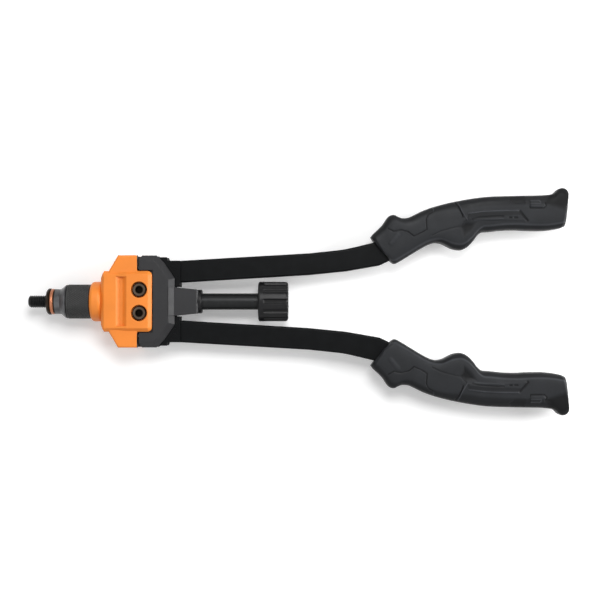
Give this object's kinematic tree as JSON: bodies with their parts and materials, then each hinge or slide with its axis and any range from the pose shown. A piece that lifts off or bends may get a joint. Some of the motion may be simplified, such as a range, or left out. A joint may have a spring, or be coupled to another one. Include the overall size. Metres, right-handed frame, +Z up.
{
  "type": "hand riveter",
  "caption": "Long-arm lever riveter for threaded inserts, with a threaded mandrel, knurled nose sleeve, pivoting arms with moulded grips and a ribbed knob behind.",
  "frame": {"origin": "on the plane that the tool lies on, under the middle of its length and width", "axes": "+X from the mandrel towards the grips and knob, +Y towards the upper arm, +Z up out of the plane that the tool lies on"},
  "size_m": [0.5216, 0.2196, 0.0396],
  "materials": {
    "housing_orange": "semi-gloss",
    "cover_grey": "matt, fine grain",
    "black_plastic": "satin",
    "grip_plastic": "matt moulded",
    "dark_steel": "oiled, dark",
    "black_steel": "black oxide, satin",
    "gunmetal": "phosphated, dark",
    "grey_steel": "phosphated, satin",
    "bright_steel": "ground",
    "copper_ring": "smooth",
    "bronze": "machined"
  },
  "bodies": {
    "head": {"anvil": "dark_steel", "anvil_ring": "copper_ring", "front_bush": "bronze", "front_housing": "housing_orange", "nose_collar": "housing_orange", "nose_cone": "gunmetal", "pivot_bushes": "bright_steel", "pivot_nuts": "dark_steel", "pivot_screws": "dark_steel", "rear_bush": "black_plastic", "rear_cover_bottom": "cover_grey", "rear_cover_top": "cover_grey"},
    "spindle": {"draw_rod": "bright_steel", "draw_tube": "black_steel", "front_thrust_ring": "bright_steel", "knob": "black_plastic", "knob_nut": "dark_steel", "mandrel": "black_steel", "rear_thrust_washer": "bright_steel"},
    "lower_arm": {"lower_arm_bar": "black_steel", "lower_drive_pin": "bright_steel", "lower_fork_plate_bottom": "black_steel", "lower_fork_plate_top": "black_steel", "lower_fork_rivets": "black_steel", "lower_grip": "grip_plastic"},
    "nose_sleeve": {"nose_sleeve": "black_steel"},
    "traction": {"traction_yoke": "grey_steel", "yoke_bush": "bronze"},
    "upper_arm": {"upper_arm_bar": "black_steel", "upper_drive_pin": "bright_steel", "upper_fork_plate_bottom": "black_steel", "upper_fork_plate_top": "black_steel", "upper_fork_rivets": "black_steel", "upper_grip": "grip_plastic"}
  },
  "joints": [
    {"name": "upper_arm_swing", "type": "hinge", "parent": "head", "child": "upper_arm", "pos_m": [-0.1516, 0.0111, 0.0198], "axis": [0, 0, 1], "range_deg": [0, 36]},
    {"name": "lower_arm_swing", "type": "hinge", "parent": "head", "child": "lower_arm", "pos_m": [-0.1516, -0.0111, 0.0198], "axis": [0, 0, 1], "range_deg": [-36.01, 0]},
    {"name": "traction_slide", "type": "slide", "parent": "head", "child": "traction", "axis": [-1, 0, 0], "range_m": [0, 0.0099]},
    {"name": "spindle_turn", "type": "hinge", "parent": "traction", "child": "spindle", "pos_m": [-0.0924, 0, 0.0198], "axis": [1, 0, 0], "continuous": true},
    {"name": "sleeve_turn", "type": "hinge", "parent": "head", "child": "nose_sleeve", "pos_m": [-0.2134, 0, 0.0198], "axis": [1, 0, 0], "continuous": true}
  ],
  "couplings": [
    {"joint": "lower_arm_swing", "follows": "upper_arm_swing", "ratio": -1},
    {"joint": "traction_slide", "follows": "upper_arm_swing", "m_per_rad": 0.015738}
  ]
}
